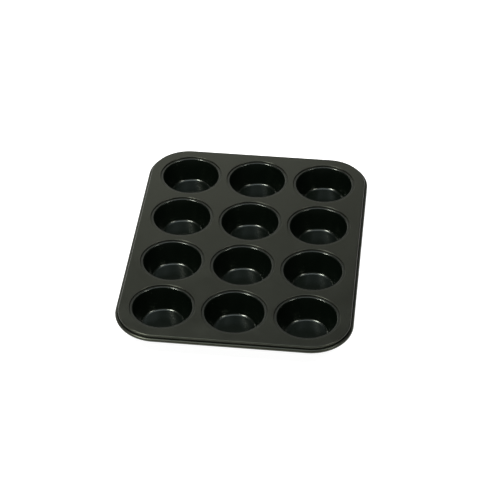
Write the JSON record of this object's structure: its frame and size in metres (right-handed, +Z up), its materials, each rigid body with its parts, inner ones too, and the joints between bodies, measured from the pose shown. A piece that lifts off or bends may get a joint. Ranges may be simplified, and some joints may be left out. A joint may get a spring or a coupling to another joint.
{
  "type": "muffin tin",
  "caption": "Shallow coated steel baking tin with round tapered cups set in a flat sheet that has a wired rolled edge, for baking muffins.",
  "frame": {"origin": "centre of the plane that the cup bases stand on, in the middle of the tin", "axes": "+Z up out of the cups, +Y along the length to the back, +X to the right"},
  "size_m": [0.27, 0.353, 0.027],
  "materials": {
    "sheet_coating": "satin non-stick coating on pressed steel",
    "cup_coating": "semi-gloss non-stick coating on drawn steel",
    "wire_steel": "plain drawn steel wire"
  },
  "bodies": {
    "root": {"top_sheet": "sheet_coating", "cup_row1_left": "cup_coating", "cup_row1_centre": "cup_coating", "cup_row1_right": "cup_coating", "cup_row2_left": "cup_coating", "cup_row2_centre": "cup_coating", "cup_row2_right": "cup_coating", "cup_row3_left": "cup_coating", "cup_row3_centre": "cup_coating", "cup_row3_right": "cup_coating", "cup_row4_left": "cup_coating", "cup_row4_centre": "cup_coating", "cup_row4_right": "cup_coating", "rim_wire": "wire_steel"}
  },
  "joints": []
}
